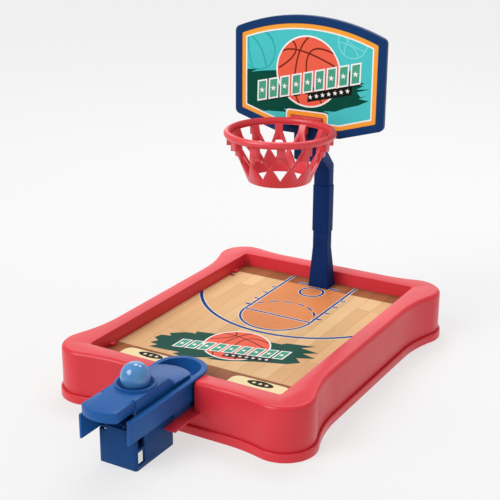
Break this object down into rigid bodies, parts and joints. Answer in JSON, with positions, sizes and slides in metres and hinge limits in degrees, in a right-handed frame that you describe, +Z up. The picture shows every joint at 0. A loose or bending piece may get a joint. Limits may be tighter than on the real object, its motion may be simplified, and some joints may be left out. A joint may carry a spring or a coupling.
{
  "type": "basketball hoop machine",
  "caption": "Desktop finger basketball game: open tray with a printed court, mast with backboard, hoop and moulded net, and a sprung cup lever that flicks a small ball.",
  "frame": {"origin": "centre of the footprint's box, on the surface the machine stands on", "axes": "+Y from the player's end towards the hoop, +Z up, +X to the player's right"},
  "size_m": [0.2254, 0.3726, 0.2813],
  "materials": {
    "red_plastic": "satin moulded plastic",
    "printed_card": "printed card with a court",
    "navy_plastic": "satin moulded plastic",
    "board_blue_plastic": "satin moulded plastic",
    "printed_board": "printed card",
    "hoop_red_plastic": "gloss moulded plastic",
    "launcher_blue_plastic": "satin moulded plastic",
    "steel": "zinc plated",
    "ball_plastic": "translucent gloss plastic"
  },
  "bodies": {
    "machine": {"base_shell": "red_plastic", "base_cover": "red_plastic", "court_card": "printed_card", "mast_foot": "navy_plastic", "mast_sleeve": "navy_plastic", "mast_upper": "navy_plastic", "backboard_frame": "board_blue_plastic", "backboard_print": "printed_board", "hoop_net": "hoop_red_plastic", "launcher_housing": "launcher_blue_plastic", "launcher_stand": "launcher_blue_plastic", "lever_pin": "steel", "lever_spring": "steel", "base_screw_1": "steel", "base_screw_2": "steel", "base_screw_3": "steel", "base_screw_4": "steel", "mast_screw_left": "steel", "mast_screw_right": "steel", "board_screw_left": "steel", "board_screw_right": "steel", "hoop_screw_left": "steel", "hoop_screw_right": "steel", "stand_screw_front": "steel", "stand_screw_back": "steel"},
    "lever": {"launch_lever": "launcher_blue_plastic"},
    "loose_ball": {"ball": "ball_plastic"}
  },
  "joints": [
    {"name": "lever_press", "type": "hinge", "parent": "machine", "child": "lever", "pos_m": [0, -0.0911, 0.036], "axis": [1, 0, 0], "range_deg": [0, 9], "stiffness_Nm_per_rad": 0.6, "springref_deg": -6.88, "deforming": ["lever_spring"]},
    {"name": "ball_lift", "type": "slide", "parent": "lever", "child": "loose_ball", "axis": [0, 0, 1], "range_m": [0, 0.06]}
  ]
}
